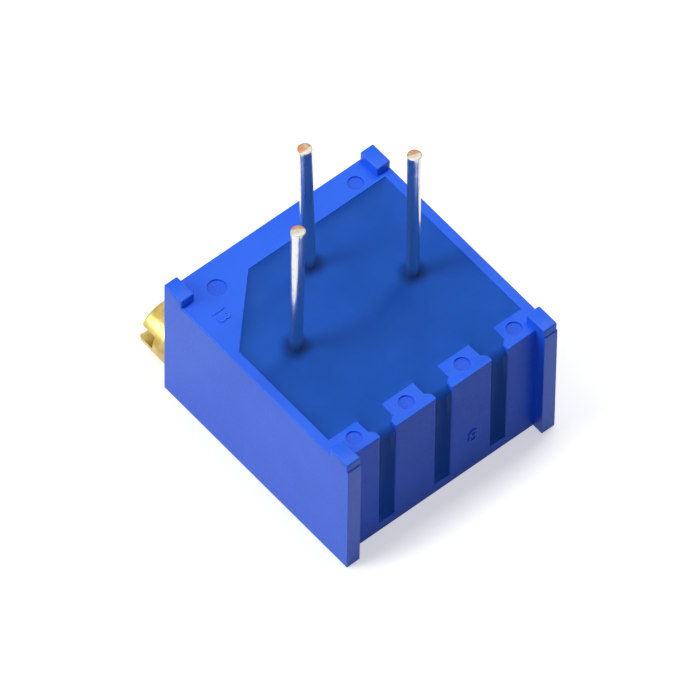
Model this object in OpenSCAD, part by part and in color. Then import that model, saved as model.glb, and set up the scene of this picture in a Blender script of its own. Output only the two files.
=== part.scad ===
// Side-adjust multiturn trimmer potentiometer, 3/8 inch square, three wire leads.
// Millimetres, +Z up. The part lies on its flat face, as photographed, with its leads
// upward. The origin is the centre of that face. +X runs along the screw, away from
// its head, and +Y away from the screw.

/* [Housing] */
// Length along the screw, end posts included
body_l = 10.03; // [9.9:0.01:10.4]
// Width across the screw
body_w = 9.53; // [9.4:0.01:9.9]
// Height of the rim above the flat face
rim_h = 5.80; // [5.4:0.05:6.4]
// Thickness of the two long side walls at the rim
side_wall = 0.40; // [0.36:0.01:0.48]
// Thickness of the wall that the screw comes through
head_wall = 1.15; // [1.05:0.01:1.25]
// Thickness of the floor under the rotor
floor_t = 0.60; // [0.5:0.01:0.64]
// Leg of the solid 45 degree corner over the screw
corner_leg = 2.50; // [2.2:0.05:2.7]
// Lead-in chamfer at the mouth of the screw bore
bore_chamfer = 0.08; // [0.04:0.01:0.12]

/* [Corner pads and posts] */
// Length of a corner pad along the screw
pad_l = 0.97; // [0.8:0.01:1.1]
// Width of a corner pad
pad_w = 0.60; // [0.5:0.01:0.7]
// Height of a corner pad above the rim
pad_h = 0.40; // [0.3:0.01:0.5]
// Step of the far pads behind the face of the end posts
pad_setback = 0.04; // [0.02:0.01:0.08]
// How far the two end posts stand out of the slotted face
post_d = 0.48; // [0.4:0.01:0.6]
// Width of an end post
post_w = 0.60; // [0.5:0.01:0.7]

/* [Lead exit slots] */
// Width of a slot at the slotted face
slot_w = 0.70; // [0.6:0.01:0.8]
// Height of the sill below the slots
sill_h = 0.50; // [0.4:0.01:0.7]
// Depth of the outer bar of each T-shaped column
bar_d = 0.40; // [0.3:0.01:0.45]
// Depth of the stem of each T-shaped column
stem_d = 0.65; // [0.55:0.01:0.7]
// How far the bar overhangs its stem on each side
bar_overhang = 0.20; // [0.16:0.01:0.24]
// Chamfer on the inner corners of the bars
bar_chamfer = 0.14; // [0.08:0.01:0.15]

/* [Ejector marks] */
// Diameter of the marks on the columns and the far corner
mark_d = 0.60; // [0.5:0.01:0.66]
// Diameter of the mark on the solid corner
corner_mark_d = 0.72; // [0.6:0.01:0.8]
// Depth of the marks
mark_depth = 0.06; // [0.02:0.01:0.08]
// Distance of the column marks from the slotted face
mark_in = 0.55; // [0.5:0.01:0.6]
// Distance of the two end column marks from the sides
mark_side = 1.13; // [1.0:0.01:1.2]
// Centre of the solid corner's mark from the screw face and the side
corner_mark = [1.06, 1.54];
// Centre of the far corner's mark from the screw face and the side
far_mark = [0.71, 1.38];

/* [Leads] */
// Diameter of the lead wire
lead_d = 0.50; // [0.45:0.01:0.56]
// Grid pitch of the leads
lead_pitch = 2.54; // [2.5:0.01:2.6]
// Distance of the outer leads and the rotor axis from the screw face
lead_row = 4.80; // [4.75:0.01:4.9]
// Length of wire that stands out of the potting
lead_out = 7.00; // [5:0.1:9]
// Diameter of the upset bead that seats a lead on the substrate
bead_d = 0.80; // [0.7:0.01:0.9]
// Height of the bead
bead_h = 0.15; // [0.1:0.01:0.2]
// Diameter of the wire's tapered lower end
stub_d = 0.42; // [0.38:0.01:0.46]
// Diameter of the wire's neck on the bead
neck_base_d = 0.62; // [0.58:0.01:0.66]
// Diameter of the neck where it leaves the epoxy
neck_d = 0.52; // [0.52:0.01:0.56]
// Length of wire below the substrate
lead_stub = 0.15; // [0.1:0.01:0.18]
// How far lead 1 stands off its grid place, along X and Y
stray_1 = [-0.16, -0.07];
// How far lead 2 stands off its grid place, along X and Y
stray_2 = [-0.02, -0.02];
// How far lead 3 stands off its grid place, along X and Y
stray_3 = [0.01, 0.01];
// How far the tip of lead 1 leans, along X and Y
lean_1 = [0.04, 0.00];
// How far the tip of lead 2 leans, along X and Y
lean_2 = [-0.10, -0.17];
// How far the tip of lead 3 leans, along X and Y
lean_3 = [-0.04, 0.01];

/* [Element] */
// Height of the ledge that seats the substrate
seat_z = 3.00; // [2.95:0.01:3.3]
// Thickness of the alumina substrate
substrate_t = 0.635; // [0.5:0.005:0.8]
// Clearance round the substrate and its lead holes
substrate_gap = 0.08; // [0.04:0.01:0.12]
// Thickness of the printed films
film_t = 0.03; // [0.02:0.005:0.04]
// Middle radius of the resistive track
track_r = 1.75; // [1.7:0.01:1.8]
// Width of the resistive track
track_w = 0.50; // [0.4:0.01:0.6]
// Half angle of the resistive track
track_half_angle = 156; // [154:0.5:158]
// Angle of film past each end of the track
end_film_angle = 10; // [7:0.5:10]
// Width of the printed conductors
conductor_w = 0.35; // [0.25:0.01:0.4]
// Least gap between the printed pads and the track
print_gap = 0.05; // [0.03:0.01:0.08]
// Diameter of the printed pads round the leads
film_pad_d = 0.88; // [0.84:0.01:0.9]
// Diameter of the collector disc
collector_d = 1.70; // [1.5:0.01:1.9]
// Diameter of a solder joint
solder_d = 0.82; // [0.76:0.01:0.83]
// Height of a solder joint under its film
solder_h = 0.22; // [0.2:0.01:0.24]

/* [Potting] */
// Depth of the epoxy surface below the rim
potting_drop = 0.18; // [0.1:0.01:0.3]
// Depth of the epoxy in the slots behind the slotted face
potting_back = 0.18; // [0.12:0.01:0.25]
// Gap left round the wires where the epoxy is cast
cast_gap = 0.005; // [0.004:0.001:0.01]

/* [Screw] */
// Distance of the screw axis from the side of the housing
screw_in = 1.27; // [1.24:0.01:1.3]
// Height of the screw axis
screw_z = 1.27; // [1.25:0.01:1.32]
// Diameter of the screw head
head_d = 2.19; // [2.0:0.01:2.3]
// Length of the head outside the housing
head_l = 1.62; // [1.3:0.01:1.8]
// Gap between the head and the housing
head_gap = 0.04; // [0.02:0.01:0.06]
// Chamfer round the end of the head
head_chamfer = 0.09; // [0.04:0.01:0.12]
// Width of the driver slot
driver_w = 0.57; // [0.45:0.01:0.65]
// Depth of the driver slot
driver_depth = 0.76; // [0.5:0.01:1]
// Turn of the driver slot from level
driver_turn = -13; // [-90:1:90]
// Diameter of the plain journal
journal_d = 1.80; // [1.76:0.01:1.84]
// Length of the journal inside the housing
journal_l = 3.10; // [3:0.01:3.15]
// Radial clearance of journal, tail and spindle in their bores
run_gap = 0.03; // [0.02:0.005:0.04]
// Diameter of the collars beside the clip groove
collar_d = 1.72; // [1.6:0.01:1.76]
// Width of a collar
collar_w = 0.18; // [0.14:0.01:0.2]
// Distance of the clip from the screw face
clip_at = 6.72; // [6.7:0.01:6.9]
// Thickness of the clip
clip_t = 0.25; // [0.2:0.01:0.28]
// Clearance on each side of the clip
clip_gap = 0.03; // [0.02:0.005:0.04]
// Height of the top of the clip
clip_top = 2.60; // [2.4:0.01:2.8]
// Diameter of the tail journal
tail_d = 0.90; // [0.8:0.01:0.96]
// Length of the tail journal
tail_l = 0.65; // [0.5:0.01:0.7]

/* [Seal] */
// Cord diameter of the O-ring
ring_cord = 0.33; // [0.3:0.01:0.34]
// Distance of the O-ring from the screw face
ring_at = 0.72; // [0.6:0.01:1.2]
// Clearance of the O-ring along its groove, on each side
ring_side_gap = 0.05; // [0.02:0.01:0.08]
// Depth of the groove below the journal
ring_groove = 0.33; // [0.32:0.005:0.36]

/* [Worm drive] */
// Number of teeth on the rotor
teeth = 30; // [28:1:32]
// Pitch radius of the worm
worm_r = 0.70; // [0.68:0.01:0.7]
// Pressure angle
pressure_angle = 20; // [18:1:22]
// Depth of a tooth below the pitch line, as a multiple of the module
dedendum = 1.25; // [1.2:0.01:1.3]
// Play between thread and teeth
backlash = 0.06; // [0.05:0.005:0.08]
// Width of the toothed band
face_w = 1.00; // [0.8:0.01:1.1]

/* [Rotor] */
// Clearance under and round the rotor in its pocket
pocket_gap = 0.15; // [0.12:0.01:0.17]
// Clearance between the rotor hub and the floor
thrust_gap = 0.04; // [0.03:0.005:0.06]
// Diameter of the rotor hub
hub_d = 2.60; // [2.4:0.05:3]
// Diameter of the spindle on the floor
spindle_d = 1.50; // [1.3:0.01:1.6]
// Height of the top of the spindle
spindle_top = 1.75; // [1.7:0.01:1.8]
// Clearance between the turret that carries the wiper and the screw's journal
turret_gap = 0.395; // [0.35:0.005:0.5]
// Height of the turret top
turret_top = 2.15; // [2.12:0.01:2.2]
// Clearance between the stop lug and the worm
lug_gap = 0.06; // [0.04:0.01:0.1]
// Half angle of the stop lug
lug_half_angle = 10; // [8:0.5:10.5]
// Half angle of the stop on the pocket wall
stop_half_angle = 19; // [17:0.5:19.5]
// Height of the underside of the stop
stop_z = 1.85; // [1.84:0.01:1.9]
// Height of the stop
stop_h = 0.60; // [0.4:0.01:0.8]
// Clearance of the stop round the turret
stop_gap = 0.10; // [0.06:0.01:0.12]
// Diameter of the two pegs that hold the wiper
peg_d = 0.44; // [0.4:0.01:0.48]
// Diameter of the staked heads of the pegs
peg_head_d = 0.70; // [0.6:0.01:0.76]
// Height of the staked heads
peg_head_h = 0.14; // [0.1:0.01:0.18]
// Place of the pegs, along X and on each side of the middle
peg_at = [-1.05, 0.90];

/* [Wiper] */
// Thickness of the spring strip
wiper_t = 0.08; // [0.06:0.005:0.1]
// Clearance of the fingers under the films
wiper_gap = 0.02; // [0.02:0.005:0.04]
// Width of the wiper plate
wiper_w = 2.60; // [2.4:0.01:2.8]
// Width across the outer fingers at the track
finger_span = 1.05; // [0.9:0.01:1.1]
// Number of outer fingers
fingers = 5; // [3:1:6]
// Slit between fingers
slit_w = 0.07; // [0.05:0.01:0.09]
// Width of the tongue that rides on the collector
tongue_w = 0.50; // [0.4:0.01:0.6]
// Distance of the tongue's contact from the rotor axis
tongue_r = 0.45; // [0.3:0.01:0.5]
// How far the plate reaches behind the pegs
plate_back = 0.50; // [0.4:0.01:0.55]
// How far the plate reaches in front of the pegs
plate_front = 0.45; // [0.4:0.01:0.5]
// Distance of the bend in a finger before its contact
knee_back = 0.15; // [0.1:0.01:0.2]
// Height of that bend, as a share of the rise to the contact
knee_rise = 0.88; // [0.8:0.01:0.95]
// Length of a finger past its contact
toe_l = 0.16; // [0.1:0.01:0.18]
// Height of the tip of that end, as a share of the same rise
toe_rise = 0.80; // [0.7:0.01:0.9]
// Length of the window in front of the tongue's contact
window_l = 0.32; // [0.25:0.01:0.4]
// Distance from the tongue's contact to the slits
slit_at = 0.60; // [0.5:0.01:0.8]

/* [Hidden] */
$fn = 64;

// Overshoot of a cut past the surface that it opens
cut = 0.5;

// Faces of the housing
x_head = -body_l / 2;
x_post = body_l / 2;
x_face = x_post - post_d;
x_bar = x_face - bar_d;
x_stem = x_bar - stem_d;
y_near = -body_w / 2;
y_far = body_w / 2;

// Levels of what is stacked inside
substrate_top = seat_z + substrate_t;
film_z = seat_z - film_t;
potting_top = rim_h - potting_drop;

// Axes of the rotor and the screw
rotor_x = x_head + lead_row;
screw_y = y_near + screw_in;

// Worm drive, sized by the distance between its two axes
wheel_r = -screw_y - worm_r;
tooth_module = 2 * wheel_r / teeth;
worm_lead = PI * tooth_module;
lead_angle = atan(worm_lead / (2 * PI * worm_r));
wheel_tip_r = wheel_r + tooth_module;
wheel_root_r = wheel_r - dedendum * tooth_module;
wheel_base_r = wheel_r * cos(pressure_angle);
worm_tip_r = worm_r + tooth_module;
worm_root_r = worm_r - dedendum * tooth_module;
band_z = screw_z - face_w / 2;
band_top = screw_z + face_w / 2;
turret_r = -screw_y - journal_d / 2 - turret_gap;
lug_r = -screw_y - worm_tip_r - lug_gap;
pocket_r = max(wheel_tip_r, lead_pitch + film_pad_d / 2) + pocket_gap;

// Bores and grooves of the screw
bore_r = journal_d / 2 + run_gap;
tail_bore_r = tail_d / 2 + run_gap;
clip_x = x_head + clip_at;
clip_groove = clip_t + 2 * clip_gap;
collar_1 = clip_x - clip_groove / 2 - collar_w;
tail_x = clip_x + clip_groove / 2 + collar_w;
bore_end = tail_x + clip_gap;
ring_x = x_head + ring_at;
ring_groove_w = ring_cord + 2 * ring_side_gap;
ring_groove_r = journal_d / 2 - ring_groove;

// Place of each lead, from the rotor axis
lead_places = [
    [0, -lead_pitch] + stray_1,
    [-lead_pitch, 0] + stray_2,
    [0, lead_pitch] + stray_3
];
lead_leans = [lean_1, lean_2, lean_3];
bead_z = substrate_top + bead_h / 2;
neck_top = potting_top + run_gap;
lean_z = potting_top - lead_d / 4;

// Centres of the slots, one for each lead
slot_places = [-lead_pitch, 0, lead_pitch];

// Outline of the open cavity, moved inward by a margin
function cavity_outline(margin = 0) =
    let (
        x0 = x_head + head_wall + margin,
        x1 = x_stem - margin,
        y0 = y_near + side_wall + margin,
        y1 = y_far - side_wall - margin,
        leg = corner_leg - margin * (2 - sqrt(2))
    )
    [[x0, y0 + leg], [x0 + leg, y0], [x1, y0], [x1, y1], [x0, y1]];

// One side of a lead exit slot, from the cavity to a given depth
function slot_side(x_end) = [
    [x_stem, slot_w / 2 + bar_overhang],
    [x_bar, slot_w / 2 + bar_overhang],
    [x_bar, slot_w / 2 + bar_chamfer],
    [x_bar + bar_chamfer, slot_w / 2],
    [x_end, slot_w / 2]
];

function mirrored(points) = [for (i = [len(points) - 1:-1:0]) [points[i].x, -points[i].y]];

// Involute tooth: half of its angle at a radius, in degrees
function involute(angle) = tan(angle) * 180 / PI - angle;
function tooth_half_angle(r) =
    90 / teeth - backlash / 4 / wheel_r * 180 / PI + involute(pressure_angle)
    - (r > wheel_base_r ? involute(acos(wheel_base_r / r)) : 0);

// Half width of the worm thread along its axis, at a radius
function thread_half(r) =
    worm_lead / 4 - backlash / 4 - (r - worm_r) * tan(pressure_angle);

// A solid turned about an axis that points along +X
module turned_x(x, y, z) {
    translate([x, y, z]) rotate([0, 90, 0]) rotate_extrude() children();
}

module along_x(x, y, z, r, length) {
    translate([x, y, z]) rotate([0, 90, 0]) cylinder(r = r, h = length);
}

// A flat ring sector about the rotor axis, from angle a0 to a1
module sector(r0, r1, a0, a1, z, h) {
    translate([rotor_x, 0, z]) rotate([0, 0, a0]) rotate_extrude(angle = a1 - a0)
        translate([r0, 0]) square([r1 - r0, h]);
}

module exit_slot(y, x_end) {
    translate([0, y, 0]) polygon(concat(slot_side(x_end), mirrored(slot_side(x_end))));
}

module pad(x, y) {
    translate([x, y, rim_h - cut]) cube([pad_l, pad_w, pad_h + cut]);
}

module ejector_mark(x, y, d) {
    translate([x, y, rim_h - mark_depth]) cylinder(d = d, h = cut);
}

module housing_block() {
    translate([x_head, y_near, 0]) cube([x_face - x_head, body_w, rim_h]);
    for (y = [y_near, y_far - post_w])
        translate([x_face - cut, y, 0]) cube([post_d + cut, post_w, rim_h]);
    for (x = [x_head, x_post - pad_setback - pad_l])
        for (y = [y_near, y_far - pad_w])
            pad(x, y);
}

module screw_bore() {
    along_x(x_head - cut, screw_y, screw_z, bore_r, bore_end - x_head + cut);
    along_x(bore_end - cut, screw_y, screw_z, tail_bore_r, tail_l + 2 * clip_gap + cut);
    translate([x_head, screw_y, screw_z]) rotate([0, 90, 0]) rotate_extrude()
        polygon([
            [0, -bore_chamfer], [bore_r + 2 * bore_chamfer, -bore_chamfer],
            [bore_r, bore_chamfer], [0, bore_chamfer]
        ]);
    translate([clip_x - clip_groove / 2, screw_y - bore_r, screw_z - bore_r])
        cube([clip_groove, 2 * bore_r, seat_z - screw_z + bore_r + cut]);
}

module housing() {
    color("royalblue") {
        difference() {
            housing_block();
            translate([0, 0, seat_z]) linear_extrude(rim_h) polygon(cavity_outline());
            translate([rotor_x, 0, floor_t]) cylinder(r = pocket_r, h = rim_h - floor_t - cut);
            screw_bore();
            for (y = slot_places)
                translate([0, 0, sill_h]) linear_extrude(rim_h) exit_slot(y, x_face + cut);
            for (y = [y_near + mark_side, -lead_pitch / 2, lead_pitch / 2, y_far - mark_side])
                ejector_mark(x_face - mark_in, y, mark_d);
            ejector_mark(x_head + corner_mark.x, y_near + corner_mark.y, corner_mark_d);
            ejector_mark(x_head + far_mark.x, y_far - far_mark.y, mark_d);
        }
        translate([rotor_x, 0, floor_t - cut / 2])
            cylinder(d = spindle_d, h = spindle_top - floor_t + cut / 2);
        sector(turret_r + stop_gap, pocket_r + cut / 2, 180 - stop_half_angle,
            180 + stop_half_angle, stop_z, stop_h);
    }
}

module potting() {
    color("mediumblue") difference() {
        union() {
            translate([0, 0, substrate_top]) linear_extrude(potting_top - substrate_top)
                polygon(cavity_outline());
            for (y = slot_places)
                translate([0, 0, sill_h]) linear_extrude(potting_top - sill_h)
                    exit_slot(y, x_face - potting_back);
        }
        for (place = lead_places)
            translate([rotor_x + place.x, place.y, 0]) {
                neck(cast_gap);
                translate([0, 0, substrate_top - cut])
                    cylinder(r = bead_d / 2 + cast_gap, h = bead_h + cut + cast_gap);
            }
    }
}

module substrate() {
    color("ivory") difference() {
        translate([0, 0, seat_z]) linear_extrude(substrate_t)
            polygon(cavity_outline(substrate_gap));
        for (place = lead_places)
            translate([rotor_x + place.x, place.y, seat_z - cut])
                cylinder(r = lead_d / 2 + cast_gap, h = substrate_t + 2 * cut);
    }
}

module resistive_track() {
    color("darkslategray")
        sector(track_r - track_w / 2, track_r + track_w / 2, -track_half_angle,
            track_half_angle, film_z, film_t);
}

// Printed pad round the wire at a place, with its hole
module film_pad(place) {
    translate([rotor_x + place.x, place.y, film_z]) cylinder(d = film_pad_d, h = film_t);
}

module wire_holes() {
    for (place = lead_places)
        translate([rotor_x + place.x, place.y, film_z - cut])
            cylinder(r = lead_d / 2 + cast_gap, h = film_t + 2 * cut);
}

module collector_film() {
    color("silver") difference() {
        union() {
            translate([rotor_x, 0, film_z]) cylinder(d = collector_d, h = film_t);
            translate([rotor_x - lead_pitch, -conductor_w / 2, film_z])
                cube([lead_pitch, conductor_w, film_t]);
            film_pad(lead_places[1]);
        }
        wire_holes();
    }
}

// Film from one end of the track round to its lead: side is -1 or 1
module end_film(side) {
    a_track = track_half_angle;
    a_end = track_half_angle + end_film_angle;
    r_mid = lead_pitch;
    color("silver") difference() {
        union() {
            if (side > 0) {
                sector(track_r - track_w / 2, r_mid, a_track, a_end, film_z, film_t);
                sector(r_mid - conductor_w / 2, r_mid + conductor_w / 2, 90, a_end, film_z, film_t);
            } else {
                sector(track_r - track_w / 2, r_mid, -a_end, -a_track, film_z, film_t);
                sector(r_mid - conductor_w / 2, r_mid + conductor_w / 2, -a_end, -90, film_z, film_t);
            }
            difference() {
                film_pad(lead_places[side > 0 ? 2 : 0]);
                translate([rotor_x, 0, film_z - cut])
                    cylinder(r = track_r + track_w / 2 + print_gap, h = 2 * cut);
            }
        }
        wire_holes();
    }
}

// Profile of a solder joint from its top to its edge, as shares of its radius and height
solder_dome = [[0, 1], [0.44, 0.92], [0.76, 0.55], [1, 0]];

module solder_joint(i) {
    wire_r = lead_d / 2 + cast_gap;
    stub_end = lead_stub + cast_gap;
    dome = [for (p = solder_dome) [p.x * solder_d / 2, -film_t - p.y * solder_h]];
    color("gainsboro") translate([rotor_x + lead_places[i].x, lead_places[i].y, seat_z])
        rotate_extrude() polygon(concat(
            dome, [[wire_r, -film_t], [wire_r, -stub_end], [0, -stub_end]]
        ));
}

// Neck that tapers from the bead to the wire, or the hole in the epoxy around it
module neck(gap) {
    translate([0, 0, bead_z])
        cylinder(d1 = neck_base_d + 2 * gap, d2 = neck_d + 2 * gap, h = neck_top - bead_z);
}

// Wire above the epoxy, which leans as it was left
module leaning_wire(i) {
    lean = lead_leans[i];
    height = potting_top + lead_out - lean_z;
    translate([rotor_x + lead_places[i].x, lead_places[i].y, lean_z])
        rotate([0, 0, atan2(lean.y, lean.x)]) rotate([0, atan(norm(lean) / height), 0])
            cylinder(d = lead_d, h = norm([lean.x, lean.y, height]));
}

// Wire with its upset bead on the substrate and its neck in the epoxy
module lead(i) {
    color("lightgray") {
        translate([rotor_x + lead_places[i].x, lead_places[i].y, 0]) {
            translate([0, 0, seat_z - lead_stub])
                cylinder(d1 = stub_d, d2 = lead_d, h = bead_z - seat_z + lead_stub);
            translate([0, 0, substrate_top]) cylinder(d = bead_d, h = bead_h);
            neck(0);
        }
        leaning_wire(i);
    }
}

// Rings of the worm thread: four corners each, low at both ends where it runs out
thread_steps = 18;
thread_runout = 5;
thread_margin = worm_lead * 0.45;
thread_x0 = x_head + journal_l + thread_margin;
thread_x1 = collar_1 - thread_margin;
thread_first = ceil((thread_x0 - rotor_x) / worm_lead * thread_steps);
thread_last = floor((thread_x1 - rotor_x) / worm_lead * thread_steps);
thread_sink = 0.05;

function thread_ring(k) =
    let (
        angle = 360 * k / thread_steps,
        x = rotor_x + worm_lead * k / thread_steps,
        rise = min(1, (min(k - thread_first, thread_last - k) + 0.4) / thread_runout),
        r0 = worm_root_r - thread_sink,
        r1 = worm_root_r + (worm_tip_r - worm_root_r) * rise,
        w0 = thread_half(r0),
        w1 = thread_half(r1)
    )
    [
        for (p = [[-w0, r0], [-w1, r1], [w1, r1], [w0, r0]])
            [x + p[0], screw_y + p[1] * cos(angle), screw_z + p[1] * sin(angle)]
    ];

module worm_thread() {
    rings = thread_last - thread_first;
    points = [for (k = [thread_first:thread_last]) each thread_ring(k)];
    sides = [
        for (i = [0:rings - 1], j = [0:3])
            let (a = 4 * i + j, b = 4 * i + (j + 1) % 4)
                each [[a, b, a + 4], [b, b + 4, a + 4]]
    ];
    last = 4 * rings;
    ends = [[2, 1, 0], [3, 2, 0], [last, last + 1, last + 2], [last, last + 2, last + 3]];
    polyhedron(points = points, faces = concat(sides, ends));
}

module screw_blank() {
    head_x = -head_l;
    ring_0 = ring_x - ring_groove_w / 2 - x_head;
    ring_1 = ring_x + ring_groove_w / 2 - x_head;
    c1 = collar_1 - x_head;
    g0 = clip_x - clip_groove / 2 - x_head;
    g1 = clip_x + clip_groove / 2 - x_head;
    t0 = tail_x - x_head;
    t1 = t0 + tail_l;
    r_head = head_d / 2;
    r_journal = journal_d / 2;
    r_collar = collar_d / 2;
    turned_x(x_head, screw_y, screw_z) polygon([
        [0, head_x], [r_head - head_chamfer, head_x], [r_head, head_x + head_chamfer],
        [r_head, -head_gap], [r_journal, -head_gap],
        [r_journal, ring_0], [ring_groove_r, ring_0], [ring_groove_r, ring_1],
        [r_journal, ring_1], [r_journal, journal_l], [worm_root_r, journal_l],
        [worm_root_r, c1], [r_collar, c1], [r_collar, g0], [worm_root_r, g0],
        [worm_root_r, g1], [r_collar, g1], [r_collar, t0], [tail_d / 2, t0],
        [tail_d / 2, t1], [0, t1]
    ]);
}

module adjusting_screw() {
    color("gold") difference() {
        union() {
            screw_blank();
            worm_thread();
        }
        translate([x_head - head_l, screw_y, screw_z]) rotate([driver_turn, 0, 0])
            translate([-cut, -head_d, -driver_w / 2])
                cube([driver_depth + cut, 2 * head_d, driver_w]);
    }
}

module o_ring() {
    color("dimgray") turned_x(ring_x, screw_y, screw_z)
        translate([ring_groove_r + ring_cord / 2 + cast_gap, 0]) circle(d = ring_cord);
}

// Flat U-shaped clip, pushed down over the groove of the screw
module screw_clip() {
    inner_r = worm_root_r + run_gap;
    outer_r = bore_r - clip_gap;
    base = screw_z - bore_r + clip_gap;
    color("slategray") difference() {
        translate([clip_x - clip_t / 2, screw_y - outer_r, base])
            cube([clip_t, 2 * outer_r, clip_top - base]);
        along_x(clip_x - clip_t, screw_y, screw_z, inner_r, 2 * clip_t);
        translate([clip_x - clip_t, screw_y - inner_r, base - cut])
            cube([2 * clip_t, 2 * inner_r, screw_z - base + cut]);
    }
}

// Section of one tooth: x is the radius, y is across the tooth
module tooth_section() {
    radii = [
        wheel_root_r - thread_sink, wheel_base_r, wheel_r,
        (wheel_r + wheel_tip_r) / 2, wheel_tip_r
    ];
    side = [for (r = radii) [r * cos(tooth_half_angle(r)), r * sin(tooth_half_angle(r))]];
    polygon(concat(side, mirrored(side)));
}

// Toothed band: straight teeth set at the worm's lead angle
module toothed_band() {
    intersection() {
        union() {
            cylinder(r = wheel_root_r, h = face_w);
            for (i = [0:teeth - 1])
                rotate([0, 0, -90 + 360 / teeth * (i + 0.5)])
                    translate([0, 0, face_w / 2]) rotate([-lead_angle, 0, 0])
                        linear_extrude(face_w + cut, center = true) tooth_section();
        }
        cylinder(r = wheel_tip_r, h = face_w);
    }
}

module rotor() {
    hub_z = floor_t + thrust_gap;
    color("whitesmoke") {
        translate([rotor_x, 0, 0]) difference() {
            union() {
                translate([0, 0, band_z]) toothed_band();
                translate([0, 0, hub_z]) cylinder(d = hub_d, h = screw_z - hub_z);
                translate([0, 0, screw_z]) cylinder(r = turret_r, h = turret_top - screw_z);
                for (side = [-1, 1])
                    translate([peg_at.x, side * peg_at.y, turret_top - thrust_gap]) {
                        cylinder(d = peg_d, h = thrust_gap + wiper_t + peg_head_h / 2);
                        translate([0, 0, thrust_gap + wiper_t])
                            cylinder(d = peg_head_d, h = peg_head_h);
                    }
            }
            translate([0, 0, hub_z - cut])
                cylinder(r = spindle_d / 2 + run_gap, h = spindle_top + thrust_gap - hub_z + cut);
        }
        sector(turret_r - stop_gap, lug_r, -lug_half_angle, lug_half_angle,
            screw_z, turret_top - screw_z);
    }
}

// A bent strip seen from the side, thickened downward
module strip(path, width) {
    under = [for (i = [len(path) - 1:-1:0]) [path[i].x, path[i].y - wiper_t]];
    translate([rotor_x, width / 2, 0]) rotate([90, 0, 0]) linear_extrude(width)
        polygon(concat(path, under));
}

// Contact spring stamped from one strip: outer fingers on the track, a tongue inside
module wiper() {
    plate_top = turret_top + wiper_t;
    contact_top = film_z - wiper_gap;
    plate_x0 = peg_at.x - plate_back;
    plate_x1 = peg_at.x + plate_front;
    contact_rise = contact_top - plate_top;
    knee_z = plate_top + contact_rise * knee_rise;
    toe_z = plate_top + contact_rise * toe_rise;
    finger_w = (finger_span - slit_w * (fingers - 1)) / fingers;
    color("khaki") difference() {
        union() {
            strip([[plate_x0, plate_top], [plate_x1, plate_top]], wiper_w);
            difference() {
                strip([
                    [plate_x1 - wiper_t, plate_top], [plate_x1, plate_top],
                    [track_r - knee_back, knee_z], [track_r, contact_top],
                    [track_r + toe_l, toe_z]
                ], finger_span);
                translate([rotor_x + plate_x1, -tongue_w / 2 - slit_w, plate_top - cut])
                    cube([tongue_r - plate_x1 + window_l, tongue_w + 2 * slit_w, contact_rise + 2 * cut]);
                for (i = [1:fingers - 1])
                    translate([rotor_x + tongue_r + slit_at,
                        -finger_span / 2 + i * finger_w + (i - 1) * slit_w, plate_top - cut])
                        cube([track_r, slit_w, contact_rise + 2 * cut]);
            }
            strip([
                [plate_x1 - wiper_t, plate_top], [plate_x1, plate_top],
                [tongue_r - knee_back, knee_z], [tongue_r, contact_top],
                [tongue_r + toe_l, toe_z]
            ], tongue_w);
        }
        for (side = [-1, 1])
            translate([rotor_x + peg_at.x, side * peg_at.y, turret_top - cut])
                cylinder(d = peg_d + 2 * cast_gap, h = wiper_t + 2 * cut);
    }
}

housing();
potting();
substrate();
resistive_track();
collector_film();
end_film(-1);  // end_film_1
end_film(1);  // end_film_3
solder_joint(0);  // solder_joint_1
solder_joint(1);  // solder_joint_2
solder_joint(2);  // solder_joint_3
lead(0);  // lead_1
lead(1);  // lead_2
lead(2);  // lead_3
adjusting_screw();
o_ring();
screw_clip();
rotor();
wiper();
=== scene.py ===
"""Looks of a side-adjust trimmer potentiometer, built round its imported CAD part.

Lengths in the dataclasses are millimetres, in the frame of the part: the origin is the
centre of the flat face that it rests on, +X runs along the screw, away from its head, +Y
away from the screw, and +Z along the three leads.
"""

import logging
import math
from dataclasses import dataclass, field
from enum import Enum, IntEnum
from typing import Callable, Iterable, Optional

import bmesh
import bpy
from mathutils import Matrix, Vector


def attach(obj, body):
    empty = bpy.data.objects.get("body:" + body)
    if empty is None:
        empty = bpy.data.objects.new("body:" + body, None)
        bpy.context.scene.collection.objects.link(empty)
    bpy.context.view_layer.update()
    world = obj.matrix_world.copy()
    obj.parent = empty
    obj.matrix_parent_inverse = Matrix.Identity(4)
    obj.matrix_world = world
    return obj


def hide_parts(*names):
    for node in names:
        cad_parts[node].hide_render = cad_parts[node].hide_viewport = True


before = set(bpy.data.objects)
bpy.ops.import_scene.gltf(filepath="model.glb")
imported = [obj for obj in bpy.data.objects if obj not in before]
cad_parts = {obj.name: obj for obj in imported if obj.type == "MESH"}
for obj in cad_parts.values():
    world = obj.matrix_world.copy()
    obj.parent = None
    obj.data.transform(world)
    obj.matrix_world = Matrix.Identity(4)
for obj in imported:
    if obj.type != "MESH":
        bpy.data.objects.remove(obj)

log = logging.getLogger("trimmer")

Pair = tuple[float, float]
Triple = tuple[float, float, float]
Tree = bpy.types.NodeTree
Socket = bpy.types.NodeSocket
Feeds = dict[str, Socket]

# One millimetre in metres, and the places of the axes in a vector
MM = 0.001
X, Y, Z = range(3)

# Distances in metres below which two corners are one, and a corner lies on a cut
MERGE = 0.001 * MM
CUT_SLACK = 1e-8

# Slack in millimetres within which a point lies on a plane
NEAR = 0.005

# Least share of a face's normal along an axis, for a face that is square to it
SQUARE = 0.9

# Turn in degrees up to which neighbouring CAD triangles lie in one flat face, and the turn
# from which an edge of the epoxy or of a wire stays sharp
FLAT = 0.4
ROUND_SHARP = 50.0

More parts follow.
